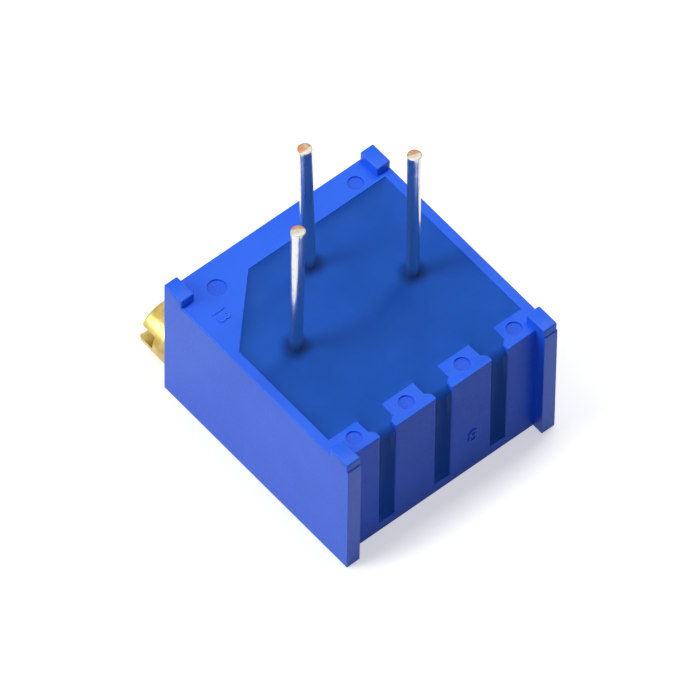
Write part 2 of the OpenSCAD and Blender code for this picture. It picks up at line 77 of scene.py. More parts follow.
# Sizes that several pieces share, in millimetres
RIM_Z = 5.80
FACE_X = 4.535
SLOT_CENTRES = (-2.54, 0.0, 2.54)
SLOT_HALF = 0.35
SCREW_Y = -3.495
SCREW_Z = 1.27
LEAD_FEET = ((-0.375, -2.61), (-2.775, -0.02), (-0.205, 2.55))
WIRE_RADIUS = 0.25

# Places of the two colours and of the result among a Mix node's sockets
MIX_FROM = 6
MIX_TO = 7
MIX_RESULT = 2

# Radians that Blender's wave pattern runs through in a unit of length, at a scale of 1
WAVE_RADIANS = 20


class Body(Enum):
    """Bodies of the mechanism that a new piece rides on."""

    HOUSING = "housing"
    SCREW = "screw"


class Skin(IntEnum):
    """Skins of the housing, by their place among its materials."""

    SATIN = 0
    # The pin-mark and slotted-face skins are darker by painted shade
    PRESSED_SHADED = 1
    COARSE_SHADED = 2


class Tip(IntEnum):
    """Finishes of a lead, by their place among its materials."""

    TINNED = 0
    COPPER = 1
    SMEARED = 2


def near(value: float, level: float) -> bool:
    """Tells whether two lengths in millimetres agree within the slack."""
    return abs(value - level) < NEAR


def linear(code: str) -> tuple[float, float, float, float]:
    """Turns an sRGB hex colour into linear values.

    Args:
        code: Colour such as "#3A64F5".

    Returns:
        Linear red, green, blue and an alpha of 1.
    """
    parts = [int(code[i:i + 2], 16) / 255 for i in (1, 3, 5)]
    lin = [c / 12.92 if c <= 0.04045 else ((c + 0.055) / 1.055) ** 2.4 for c in parts]
    return (lin[0], lin[1], lin[2], 1.0)


def add_node(
    tree: Tree,
    kind: str,
    settings: Optional[dict] = None,
    links: Optional[dict] = None,
) -> bpy.types.Node:
    """Adds one node with its settings and links.

    Args:
        tree: Node tree that the node goes into.
        kind: Blender's type name of the node.
        settings: Values by the name or index of an input, or by the name of a property.
        links: Output sockets by the name or index of the input that they feed.

    Returns:
        The new node.
    """
    node = tree.nodes.new(kind)
    for key, value in (settings or {}).items():
        if isinstance(key, int) or key in node.inputs:
            node.inputs[key].default_value = value
        else:
            setattr(node, key, value)
    for key, socket in (links or {}).items():
        tree.links.new(socket, node.inputs[key])
    return node


@dataclass(frozen=True)
class Pattern:
    """A noise with grains of a real size, and what it does to the surface.

    Attributes:
        size: Size of a grain in millimetres.
        octaves: Steps of finer noise on top of it.
        stretch: Shares of the frequency along X, Y and Z.
        depth: Depth of its relief in millimetres.
        tones: Colours at the two ends of tone_span.
        tone_span: Values of the noise between which the colour changes.
        gloss: Roughness at the two ends of gloss_span.
        gloss_span: Values of the noise between which the gloss changes.
        fade: Share of its strength that each finer step keeps.
    """

    size: float
    octaves: float = 2.0
    stretch: Triple = (1.0, 1.0, 1.0)
    depth: float = 0.0
    tones: tuple[str, ...] = ()
    tone_span: Pair = (0.35, 0.65)
    gloss: tuple[float, ...] = ()
    gloss_span: Pair = (0.3, 0.7)
    fade: float = 0.55

    def add(self, tree: Tree, place: Socket, feeds: Feeds) -> None:
        """Adds the noise and lets it feed the shader.

        Args:
            tree: Node tree of the material.
            place: Object coordinates, in metres.
            feeds: Sockets by the shader's input that they feed; it gets those of this noise.
        """
        drawn = add_node(tree, "ShaderNodeMapping", {"Scale": self.stretch}, {"Vector": place})
        value = add_node(
            tree, "ShaderNodeTexNoise",
            {"Scale": 1 / (self.size * MM), "Detail": self.octaves, "Roughness": self.fade},
            {"Vector": drawn.outputs["Vector"]}).outputs["Fac"]
        if self.depth:
            under = {"Normal": feeds["Normal"]} if "Normal" in feeds else {}
            relief = add_node(
                tree, "ShaderNodeBump", {"Strength": 1.0, "Distance": self.depth * MM},
                {"Height": value, **under})
            feeds["Normal"] = relief.outputs["Normal"]
        if self.tones:
            ramp = add_node(tree, "ShaderNodeValToRGB", links={"Fac": value})
            stops = ramp.color_ramp.elements
            for stop, position, tone in zip(stops, self.tone_span, self.tones):
                stop.position = position
                stop.color = linear(tone)
            feeds["Base Color"] = ramp.outputs["Color"]
        if self.gloss:
            spread = add_node(tree, "ShaderNodeMapRange", {
                "From Min": self.gloss_span[0], "From Max": self.gloss_span[1],
                "To Min": self.gloss[0], "To Max": self.gloss[1],
            }, {"Value": value})
            feeds["Roughness"] = spread.outputs["Result"]


@dataclass(frozen=True)
class Finish:
    """What every finish has: a name, a colour and a gloss."""

    name: str
    colour: str
    roughness: float
    metallic: float = 0.0
    specular: float = 0.5

    def material(self) -> bpy.types.Material:
        """Builds the material: its patterns, its marks and its shader.

        Returns:
            The material.
        """
        material = bpy.data.materials.new(self.name)
        material.use_nodes = True
        tree = material.node_tree
        tree.nodes.clear()
        place = add_node(tree, "ShaderNodeTexCoord").outputs["Object"]
        feeds: Feeds = {}
        for pattern in self.patterns():
            pattern.add(tree, place, feeds)
        self.add_marks(tree, place, feeds)
        shader = add_node(tree, "ShaderNodeBsdfPrincipled", {
            "Base Color": linear(self.colour),
            "Roughness": self.roughness,
            "Metallic": self.metallic,
            "Specular IOR Level": self.specular,
        }, feeds)
        add_node(tree, "ShaderNodeOutputMaterial", links={"Surface": shader.outputs["BSDF"]})
        return material

    def patterns(self) -> tuple[Pattern, ...]:
        """Patterns of this finish, the coarsest relief first."""
        return ()

    def add_marks(self, tree: Tree, place: Socket, feeds: Feeds) -> None:
        """Adds the marks of this finish that are no noise.

        Args:
            tree: Node tree of the material.
            place: Object coordinates, in metres.
            feeds: Sockets by the shader's input that they feed; it gets those of the marks.
        """

    def gloss(self, low: float, high: float) -> Pair:
        """Roughness at a pattern's two ends, from what each adds to the finish's own."""
        return (self.roughness + low, self.roughness + high)


@dataclass(frozen=True)
class MouldedNylon(Finish):
    """Glass-filled nylon, injection moulded in a spark-eroded mould."""

    specular: float = 0.28
    dark: str = "#185EEA"
    light: str = "#1D64EF"
    grain: float = 0.09
    grain_depth: float = 0.0016
    grain_gloss: float = 0.06
    patch: float = 2.2

    def patterns(self) -> tuple[Pattern, ...]:
        """Gives the fine grain of the mould and the faint cloudiness of the fibres.

        Returns:
            The two patterns.
        """
        # The spark-eroded mould leaves a grain of a few hundredths of a millimetre, drawn a
        # little coarser here so that it shows. It gives the eye a satin skin, not a gloss.
        grain = Pattern(
            self.grain, 3.0, depth=self.grain_depth,
            gloss=self.gloss(-self.grain_gloss, self.grain_gloss))
        return (grain, Pattern(self.patch, 4.0, tones=(self.dark, self.light)))


@dataclass(frozen=True)
class CastEpoxy(Finish):
    """Filled epoxy, cast and cured, that wets the walls."""

    specular: float = 0.05
    dark: str = "#1A4FAC"
    light: str = "#2257BB"
    patch: float = 3.0
    ripple: float = 1.6
    ripple_depth: float = 0.010
    filler: float = 0.12
    filler_depth: float = 0.0010
    filler_gloss: float = 0.05
    # Colour of the painted shade at each wire's foot, and the distances over which it fades out
    foot_shade: str = "#0F3378"
    foot_near: float = 0.22
    foot_far: float = 0.74

    def patterns(self) -> tuple[Pattern, ...]:
        """Gives slow waves of the cured skin, a fine cloud of filler and a drift of colour.

        Returns:
            The three patterns.
        """
        # Cast epoxy cures with a soft skin: slow waves bend its reflections, and the mineral
        # filler takes the edge off its gloss.
        waves = Pattern(self.ripple, 1.0, depth=self.ripple_depth)
        fine = Pattern(
            self.filler, 2.0, depth=self.filler_depth,
            gloss=self.gloss(-self.filler_gloss, self.filler_gloss))
        return (waves, fine, Pattern(self.patch, 5.0, tones=(self.dark, self.light)))

    def add_marks(self, tree: Tree, place: Socket, feeds: Feeds) -> None:
        """Adds painted shade, a soft dark ring, at the foot of each wire.

        Args:
            tree: Node tree of the material.
            place: Object coordinates, in metres.
            feeds: Sockets by the shader's input that they feed; its colour gets the rings.
        """
        # A soft dark ring half a millimetre wide is painted into the colour at each wire's foot:
        # painted shade, where the wire shades the epoxy round it.
        ring = add_node(tree, "ShaderNodeMapRange", {
            "interpolation_type": "SMOOTHSTEP", "From Min": self.foot_near * MM,
            "From Max": self.foot_far * MM, "To Min": 1.0, "To Max": 0.0,
        }, {"Value": self.nearest_foot(tree, place)})
        # The epoxy's colour darkens to the painted shade near each wire
        shaded_tone = add_node(
            tree, "ShaderNodeMix", {"data_type": "RGBA", MIX_TO: linear(self.foot_shade)},
            {"Factor": ring.outputs["Result"], MIX_FROM: feeds["Base Color"]})
        feeds["Base Color"] = shaded_tone.outputs[MIX_RESULT]

    def nearest_foot(self, tree: Tree, place: Socket) -> Socket:
        """Adds the distance from the nearest wire's axis.

        Args:
            tree: Node tree of the material.
            place: Object coordinates, in metres.

        Returns:
            The distance in metres.
        """
        level = add_node(
            tree, "ShaderNodeVectorMath", {"operation": "MULTIPLY", 1: (1.0, 1.0, 0.0)},
            {0: place}).outputs["Vector"]
        nearest = None
        for x, y in LEAD_FEET:
            gap = add_node(
                tree, "ShaderNodeVectorMath", {"operation": "DISTANCE", 1: (x * MM, y * MM, 0.0)},
                {0: level}).outputs["Value"]
            if nearest is not None:
                gap = add_node(
                    tree, "ShaderNodeMath", {"operation": "MINIMUM"},
                    {0: nearest, 1: gap}).outputs["Value"]
            nearest = gap
        return nearest


@dataclass(frozen=True)
class HotTinned(Finish):
    """Copper wire, drawn and hot-dipped in tin."""

    metallic: float = 1.0
    run: float = 0.22
    run_stretch: Triple = (1.0, 1.0, 0.22)
    run_depth: float = 0.008
    pit: float = 0.10
    pit_stretch: Triple = (1.0, 1.0, 0.5)
    pit_depth: float = 0.0005
    pit_dull: str = "#B9B6AE"
    pit_span: Pair = (0.26, 0.40)
    pit_gloss: float = 0.05

    def patterns(self) -> tuple[Pattern, ...]:
        """Gives the long runs of the tin and its small pits.

        Returns:
            The two patterns.
        """
        # Dipped tin runs down the wire before it sets, so the mirror is drawn out lengthwise,
        # with dull pits of a tenth of a millimetre and less.
        runs = Pattern(self.run, 2.0, self.run_stretch, self.run_depth)
        pits = Pattern(
            self.pit, 3.0, self.pit_stretch, self.pit_depth, (self.pit_dull, self.colour),
            self.pit_span, self.gloss(self.pit_gloss, 0.0))
        return (runs, pits)


@dataclass(frozen=True)
class ShearedCopper(Finish):
    """Metal torn by the cutter at the end of a tinned wire."""

    metallic: float = 1.0
    tin: str = "#B9B4A6"
    patch: float = 0.16
    patch_span: Pair = (0.56, 0.76)
    tear: float = 0.08
    tear_stretch: Triple = (1.0, 0.25, 1.0)
    tear_depth: float = 0.006

    def patterns(self) -> tuple[Pattern, ...]:
        """Gives a thin smear of tin and the tear lines of the blade.

        Returns:
            The two patterns.
        """
        # The blade drags some tin across the cut, in thin patches, and leaves fine tear
        # lines, so the end looks dull and spotted.
        smear = Pattern(
            self.patch, 1.0, tones=(self.colour, self.tin), tone_span=self.patch_span)
        return (smear, Pattern(self.tear, 2.0, self.tear_stretch, self.tear_depth))


@dataclass(frozen=True)
class TurnedBrass(Finish):
    """Free-cutting brass, turned on an automatic lathe and left bare."""

    metallic: float = 1.0
    feed: float = 0.07
    feed_depth: float = 0.0009
    side_waver: float = 1.2
    end_waver: float = 0.8
    tarnish: str = "#A98C3D"
    patch: float = 0.7
    patch_span: Pair = (0.30, 0.55)
    patch_gloss: float = 0.08

    def patterns(self) -> tuple[Pattern, ...]:
        """Gives the patches of a faint tarnish.

        Returns:
            The one pattern.
        """
        return (Pattern(
            self.patch, 4.0, tones=(self.tarnish, self.colour), tone_span=self.patch_span,
            gloss=self.gloss(self.patch_gloss, 0.0)),)

    def add_marks(self, tree: Tree, place: Socket, feeds: Feeds) -> None:
        """Adds the lathe's feed marks, along the side and across the end.

        Args:
            tree: Node tree of the material.
            place: Object coordinates, in metres.
            feeds: Sockets by the shader's input that they feed; it gets the marks' relief.
        """
        # The lathe leaves one fine groove a turn. The real feed is about half as wide, too
        # fine to show, so it is drawn wider. It spreads the highlight across the head.
        centred = add_node(
            tree, "ShaderNodeMapping", {"Location": (0.0, -SCREW_Y * MM, -SCREW_Z * MM)},
            {"Vector": place}).outputs["Vector"]
        scale = 2 * math.pi / (self.feed * MM) / WAVE_RADIANS
        side, end = (
            add_node(tree, "ShaderNodeTexWave", {
                "wave_type": kind, f"{kind.lower()}_direction": "X", "Scale": scale,
                "Distortion": waver, "Detail": 2.0, "Detail Scale": 0.4,
            }, {"Vector": centred}).outputs["Fac"]
            for kind, waver in (("BANDS", self.side_waver), ("RINGS", self.end_waver)))
        both = add_node(
            tree, "ShaderNodeMix", {"data_type": "FLOAT", "Factor": 0.5}, {"A": side, "B": end})
        relief = add_node(
            tree, "ShaderNodeBump", {"Strength": 1.0, "Distance": self.feed_depth * MM},
            {"Height": both.outputs["Result"]})
        feeds["Normal"] = relief.outputs["Normal"]


@dataclass(frozen=True)
class GrainedFinish(Finish):
    """A finish of one grain: fired ceramic, printed film, moulded resin, rubber or sheet."""

    dark: str = "#808080"
    grain: float = 0.10
    grain_depth: float = 0.001
    grain_span: Pair = (0.30, 0.60)
    grain_gloss: float = 0.05
    stretch: Triple = (1.0, 1.0, 1.0)

    def patterns(self) -> tuple[Pattern, ...]:
        """Gives the grain, in the colour, the gloss and the skin.

        Returns:
            The one pattern.
        """
        return (Pattern(
            self.grain, 3.0, self.stretch, self.grain_depth, (self.dark, self.colour),
            self.grain_span, self.gloss(self.grain_gloss, -self.grain_gloss)),)


class Look:
    """The finishes of this part, each made once."""

    def __init__(self) -> None:
        """Builds every material."""
        # Satin blue plastic: a strong colour under a thin white sheen at low angles
        self.nylon = MouldedNylon("glass_filled_nylon_moulded", "#1B61ED", 0.37).material()
        # The same plastic, made smooth by the flat end of an ejector pin; its darker colour is
        # painted shade, for the white sheen that the smooth spot lacks
        self.pressed_shaded = MouldedNylon(
            "glass_filled_nylon_pin_mark_shaded", "#1959E2", 0.28, dark="#1555DD", light="#1C5EE6",
            grain_depth=0.0006).material()
        # The slotted face, left rough by the spark erosion, so duller; its deeper colour is
        # painted shade, darkening the recessed columns against the posts
        self.coarse_shaded = MouldedNylon(
            "glass_filled_nylon_sparked_shaded", "#1859E0", 0.46, specular=0.18, dark="#1657E0",
            light="#1B5DE6", grain_depth=0.0024).material()
        # Darker and greener than the nylon, with a softer, wetter gloss
        self.epoxy = CastEpoxy("epoxy_cast_filled", "#174FAE", 0.42).material()
        # A bright mirror that shows the blue beside it
        self.tin = HotTinned("copper_wire_hot_tinned", "#E2E0D8", 0.165).material()
        # Salmon orange, rough and torn
        self.copper = ShearedCopper("copper_sheared", "#C08A62", 0.45).material()
        # Dull grey, where the cutter dragged the tin over the copper
        self.smear = ShearedCopper(
            "tin_smeared_by_cutter", "#C9C5B6", 0.45, 0.4, tin="#B4AFA0").material()
        # Pale yellow metal with a satin cut
        self.brass = TurnedBrass("brass_turned", "#CBB56B", 0.24).material()
        # White, matt, with the fine salt of fired grains
        self.alumina = GrainedFinish(
            "alumina_fired", "#EFECE2", 0.62, dark="#E2DED2", grain=0.06).material()
        # Nearly black thick film with a glassy fleck
        self.cermet = GrainedFinish(
            "cermet_printed_fired", "#23282B", 0.42, dark="#15181A", grain=0.05).material()
        # Dull white silver with a printed mesh's softness
        self.silver = GrainedFinish(
            "silver_film_printed_fired", "#D5D2C8", 0.44, 1.0, dark="#B7B3A8",
            grain=0.06).material()
        # Grey metal that froze from a melt, smooth with slow dimples
        self.solder = GrainedFinish(
            "solder_reflowed", "#CFCFCC", 0.24, 1.0, dark="#B3B3B0", grain=0.25,
            grain_depth=0.004).material()
        # Black and soft, without a highlight
        self.rubber = GrainedFinish(
            "nitrile_rubber_moulded", "#1B1B1C", 0.68, dark="#101011", grain=0.05).material()
        # Cool grey sheet with the long lines of rolling
        self.steel = GrainedFinish(
            "stainless_sheet_stamped", "#B4B4B2", 0.30, 1.0, dark="#9C9C9A", grain=0.05,
            stretch=(1.0, 1.0, 0.12)).material()
        # Off-white filled resin, satin
        self.resin = GrainedFinish(
            "rotor_resin_moulded", "#ECE8DC", 0.50, dark="#DEDACD", grain=0.12).material()
        # Warm white spring strip, rolled bright
        self.spring = GrainedFinish(
            "spring_alloy_rolled", "#D9CFB4", 0.26, 1.0, dark="#C4B999", grain=0.05,
            stretch=(0.15, 1.0, 1.0)).material()


def merged_copy(node: str) -> bmesh.types.BMesh:
    """Copies a CAD node's mesh, with the triangles of each flat face joined into one face.

    Args:
        node: Name of the CAD node.

    Returns:
        The copy.
    """
    bm = bmesh.new()
    bm.from_mesh(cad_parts[node].data)
    bmesh.ops.remove_doubles(bm, verts=bm.verts, dist=MERGE)
    bmesh.ops.dissolve_limit(
        bm, angle_limit=math.radians(FLAT), verts=bm.verts, edges=bm.edges)
    return bm


def round_edges(
    bm: bmesh.types.BMesh, radius: float, wanted: Callable[[Vector], bool],
    least_angle: float = 40.0, least_length: float = 0.0, segments: int = 2,
) -> int:
    """Rounds the outward edges that a test picks.

    Args:
        bm: Mesh to round.
        radius: Width of the rounding in millimetres.
        wanted: Test of an edge's middle, in millimetres.
        least_angle: Smallest turn between the faces of a rounded edge, in degrees.
        least_length: Length in millimetres below which an edge is left.
        segments: Number of strips across the rounding.

    Returns:
        Number of edges rounded.
    """
    bm.normal_update()
    edges = [
        e for e in bm.edges
        if e.is_manifold and e.is_convex and e.calc_length() > least_length * MM
        and math.degrees(e.calc_face_angle()) > least_angle
        and wanted((e.verts[0].co + e.verts[1].co) / 2 / MM)
    ]
    bmesh.ops.bevel(
        bm, geom=edges, offset=radius * MM, offset_type="OFFSET", affect="EDGES",
        segments=segments, profile=0.5, material=-1, clamp_overlap=False)
    return len(edges)


def publish(
    bm: bmesh.types.BMesh, name: str, body: Body,
    materials: Iterable[bpy.types.Material], node: Optional[str] = None, sharp: float = 32.0,
) -> bpy.types.Object:
    """Turns a bmesh into a finished piece that rides on a body.

    Args:
        bm: Mesh in metres, in the frame of the part; it is freed.
        name: Name of the piece.
        body: Body that it rides on.
        materials: Materials in the order of the faces' indices.
        node: CAD node that the piece replaces.
        sharp: Turn in degrees from which an edge stays sharp.

    Returns:
        The object.
    """
    mesh = bpy.data.meshes.new(name)
    bm.to_mesh(mesh)
    bm.free()
    stale = mesh.attributes.get("custom_normal")
    if stale is not None:
        mesh.attributes.remove(stale)
    for material in materials:
        mesh.materials.append(material)
    mesh.shade_smooth()
    mesh.set_sharp_from_angle(angle=math.radians(sharp))
    piece = bpy.data.objects.new(name, mesh)
    bpy.context.collection.objects.link(piece)
    even = piece.modifiers.new("even_shading", "WEIGHTED_NORMAL")
    even.mode = "FACE_AREA"
    even.weight = 80
    even.keep_sharp = True
    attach(piece, body.value)
    if node is not None:
        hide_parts(node)
    log.info("%s: %d faces, on body %s", name, len(mesh.polygons), body.value)
    return piece


@dataclass
class HousingShell:
    """The moulded housing, with the small radii that the mould gives its outer edges."""

    half_length: float = 5.015
    half_width: float = 4.765
    pad_length: float = 0.97
    pad_width: float = 0.60
    pad_setback: float = 0.04
    edge: float = 0.03
    crown_edge: float = 0.06
    mouth_edge: float = 0.08
    least_edge: float = 0.09
    least_mouth: float = 1.0
    score_z: float = 5.20
    mark_z: float = 5.74
    bore_reach: float = 1.35
    bore_depth: float = 0.10

    def is_mouth(self, p: Vector) -> bool:
        """Tells whether a point in millimetres lies on the side of a slot's mouth."""
        return near(p.x, FACE_X) and any(near(abs(p.y - y), SLOT_HALF) for y in SLOT_CENTRES)

    def is_crown(self, p: Vector) -> bool:
        """Tells whether a point lies on the upper edges or on a corner beside the screw.

        Args:
            p: Point in millimetres.

        Returns:
            True on the rim's outer edge, on a pad and on the two corners at the screw's end.
        """
        on_side = near(abs(p.y), self.half_width)
        on_end = near(p.x, -self.half_length)
        if on_side and on_end and p.z > NEAR:
            return True
        on_rim = near(p.z, RIM_Z) and (on_side or on_end or near(p.x, FACE_X))
        return on_rim or p.z > RIM_Z + NEAR

    def is_outer(self, p: Vector) -> bool:
        """Tells whether a point lies on an edge that the eye can reach.

        Args:
            p: Point in millimetres.

        Returns:
            True on the outside and round the rim, False near the bore and inside.
        """
        if p.x < self.bore_depth - self.half_length:
            off_axis = math.hypot(p.y - SCREW_Y, p.z - SCREW_Z)
            return off_axis > self.bore_reach or p.z < NEAR
        on_side = near(abs(p.y), self.half_width)
        on_front = p.x > FACE_X - NEAR
        on_top = p.z > RIM_Z - NEAR
        return on_side or on_front or on_top or p.z < NEAR

    def score_walls(self, bm: bmesh.types.BMesh) -> None:
        """Scores the walls below the pads' corners, so that a rounding can end there.

        Args:
            bm: Mesh of the housing.
        """
        inner_y = self.half_width - self.pad_width
        pad_front = self.half_length - self.pad_setback
        ends = (self.pad_length - self.half_length, pad_front - self.pad_length, pad_front)
        walls = [(Y, side * self.half_width, X, ends) for side in (-1, 1)]
        walls += [(Y, side * inner_y, X, (pad_front,)) for side in (-1, 1)]
        walls += [(X, -self.half_length, Y, (-inner_y, inner_y))]
        for axis, level, across, places in walls:
            for way, place in [(Z, self.score_z)] + [(across, place) for place in places]:
                faces = [
                    f for f in bm.faces if abs(f.normal[axis]) > SQUARE
                    and near(f.calc_center_median()[axis] / MM, level)
                    and max(v.co.z for v in f.verts) > (RIM_Z + NEAR) * MM]
                edges = dict.fromkeys(e for f in faces for e in f.edges)
                verts = dict.fromkeys(v for f in faces for v in f.verts)
                direction = Vector([float(i == way) for i in (X, Y, Z)])
                bmesh.ops.bisect_plane(
                    bm, geom=[*faces, *edges, *verts], dist=CUT_SLACK,
                    plane_co=direction * place * MM, plane_no=direction)

    def build(self, look: Look) -> bpy.types.Object:
        """Builds the shell in place of its CAD node.

        Args:
            look: Finishes of the part.

        Returns:
            The shell.
        """
        bm = merged_copy("housing")
        self.score_walls(bm)
        count = round_edges(
            bm, self.mouth_edge, self.is_mouth, least_length=self.least_mouth, segments=4)
        count += round_edges(
            bm, self.crown_edge, self.is_crown, least_length=self.least_edge, segments=4)
        count += round_edges(bm, self.edge, self.is_outer, least_length=self.least_edge)
        log.info("housing_shell: %d edges rounded", count)
        for f in bm.faces:
            middle = f.calc_center_median() / MM
            # Pin marks take the smoother skin, whose darker colour is painted shade
            if near(middle.z, self.mark_z) and f.normal.z > SQUARE:
                f.material_index = Skin.PRESSED_SHADED
            # The slotted face takes the duller skin, whose deeper colour is painted shade
            if near(middle.x, FACE_X) and f.normal.x > SQUARE:
                f.material_index = Skin.COARSE_SHADED
        skins = {Skin.SATIN: look.nylon, Skin.PRESSED_SHADED: look.pressed_shaded, Skin.COARSE_SHADED: look.coarse_shaded}
        return publish(
            bm, "housing_shell", Body.HOUSING, skins.values(), "housing")


@dataclass
class CastPotting:
    """The epoxy: a skin that climbs the walls and wires and rolls over into the slots."""

    x_wall: float = -3.865
    x_stem: float = 3.485
    x_bar: float = 4.135
    x_front: float = 4.49
    y_wall: float = 4.365
    corner: float = 2.50
    behind_half: float = 0.55
    bar_chamfer: float = 0.14
    hollow: float = 0.24
    level: float = 5.60
    floor_z: float = 3.64
    slot_floor_z: float = 0.51
    foot_h: float = 0.20
    climb: float = 0.17
    climb_reach: float = 0.28
    wire_climb: float = 0.04
    wire_reach: float = 0.10
    roll: float = 0.40
    roll_lines: int = 8
    pitch: float = 0.075
    lines_x: int = 109
    lines_y: int = 116
    near_walls: Pair = (0.02, 0.05)
    walls: list[tuple[Vector, Vector]] = field(default_factory=list)

    def outline(self) -> list[Pair]:
        """Gives the shape of the cast body seen from above.

        Returns:
            Its corners, anticlockwise from the near wall.
        """
        corners = [
            (self.x_wall, -self.y_wall + self.corner),
            (self.x_wall + self.corner, -self.y_wall),
            (self.x_stem, -self.y_wall),
        ]
        for y in SLOT_CENTRES:
            side = [
                (self.x_stem, self.behind_half), (self.x_bar, self.behind_half),
                (self.x_bar, SLOT_HALF + self.bar_chamfer),
                (self.x_bar + self.bar_chamfer, SLOT_HALF),
                (self.x_front, SLOT_HALF),
            ]
            corners += [(px, y - py) for px, py in side]
            corners += [(px, y + py) for px, py in reversed(side)]
        return corners + [(self.x_stem, self.y_wall), (self.x_wall, self.y_wall)]

    def wall_distance(self, x: float, y: float) -> float:
        """Distance of a place from the nearest wall that the epoxy wets.

        Args:
            x: Place along X, in millimetres.
            y: Place along Y, in millimetres.

        Returns:
            The distance in millimetres.
        """
        p = Vector((x, y))
        gaps = []
        for a, b in self.walls:
            run = b - a
            share = min(1.0, max(0.0, (p - a).dot(run) / run.length_squared))
            gaps.append((p - a - run * share).length)
        return min(gaps)

    def surface(self, x: float, y: float) -> float:
        """Height of the cured skin at a place.

        Args:
            x: Place along X, in millimetres.
            y: Place along Y, in millimetres.

        Returns:
            The height in millimetres.
        """
        z = self.level + self.climb * math.exp(-self.wall_distance(x, y) / self.climb_reach)
        for wx, wy in LEAD_FEET:
            gap = max(0.0, math.hypot(x - wx, y - wy) - WIRE_RADIUS)
            z += self.wire_climb * math.exp(-gap / self.wire_reach)
        t = min(1.0, max(0.0, (x - self.x_front + self.roll) / self.roll))
        return z - self.roll * (1 - math.sqrt(1 - t * t))

    def grid(self, bm: bmesh.types.BMesh) -> None:
        """Cuts the flat outline into a grid, closer at the walls and over the roll.

        Args:
            bm: Mesh that holds the outline as one face.
        """
        cuts_x = [self.x_wall + self.pitch * i for i in range(1, self.lines_x + 1)]
        cuts_x += [self.x_wall + d for d in self.near_walls]
        cuts_x += [self.x_stem - d for d in self.near_walls] + [self.x_stem]
        cuts_x += [
            self.x_front - self.roll * (1 - math.sin(i * math.pi / (2 * self.roll_lines)))
            for i in range(self.roll_lines)]
        cuts_y = [-self.y_wall + self.pitch * i for i in range(1, self.lines_y + 1)]
        cuts_y += [side * (self.y_wall - d) for d in self.near_walls for side in (-1, 1)]
        for values, axis in ((cuts_x, Vector((1, 0, 0))), (cuts_y, Vector((0, 1, 0)))):
            for value in values:
                bmesh.ops.bisect_plane(
                    bm, geom=bm.verts[:] + bm.edges[:] + bm.faces[:], dist=CUT_SLACK,
                    plane_co=axis * value * MM, plane_no=axis)

    def sunk_copy(
        self, bm: bmesh.types.BMesh, faces: list[bmesh.types.BMFace], z: float,
        keep: bool = True,
    ) -> list[bmesh.types.BMFace]:
        """Extrudes faces down to a level.

        Args:
            bm: Mesh that holds the faces.
            faces: Faces to extrude.
            z: Level in millimetres.
            keep: Whether the faces stay where they were, to close the body.

        Returns:
            The faces at that level.
        """
        made = bmesh.ops.extrude_face_region(bm, geom=faces, use_keep_orig=keep)["geom"]
        if not keep:
            bmesh.ops.delete(bm, geom=[f for f in faces if f.is_valid], context="FACES_ONLY")
        for v in (g for g in made if isinstance(g, bmesh.types.BMVert)):
            v.co.z = z * MM
        return [g for g in made if isinstance(g, bmesh.types.BMFace)]

    def build(self, look: Look) -> bpy.types.Object:
        """Builds the epoxy in place of its CAD node.

        Args:
            look: Finishes of the part.

        Returns:
            The epoxy.
        """
        corners = self.outline()
        for a, b in zip(corners, corners[1:] + corners[:1]):
            if min(a[X], b[X]) < self.x_front - NEAR:
                self.walls.append((Vector(a), Vector(b)))
        bm = bmesh.new()
        bm.faces.new([bm.verts.new((x * MM, y * MM, 0.0)) for x, y in corners])
        self.grid(bm)
        top = bm.faces[:]
        under = self.sunk_copy(bm, top, self.floor_z)
        slots = [f for f in under if f.calc_center_median().x > self.x_stem * MM]
        foot = self.sunk_copy(bm, slots, self.slot_floor_z + self.foot_h, False)
        self.sunk_copy(bm, foot, self.slot_floor_z, False)
        for v in {v for f in top for v in f.verts}:
            v.co.z = self.surface(v.co.x / MM, v.co.y / MM) * MM
        # The skin in each slot is drawn in between the slot's two sides, above its foot
        above = (self.slot_floor_z + self.foot_h / 2) * MM
        for v in bm.verts:
            if v.co.x > (self.x_front - NEAR) * MM and v.co.z > above:
                off = min(abs(v.co.y / MM - y) for y in SLOT_CENTRES) / SLOT_HALF
                v.co.x -= self.hollow * (1 - min(1.0, off) ** 2) * MM
        bmesh.ops.recalc_face_normals(bm, faces=bm.faces)
        return publish(
            bm, "potting_cast", Body.HOUSING, [look.epoxy], "potting",
            sharp=ROUND_SHARP)


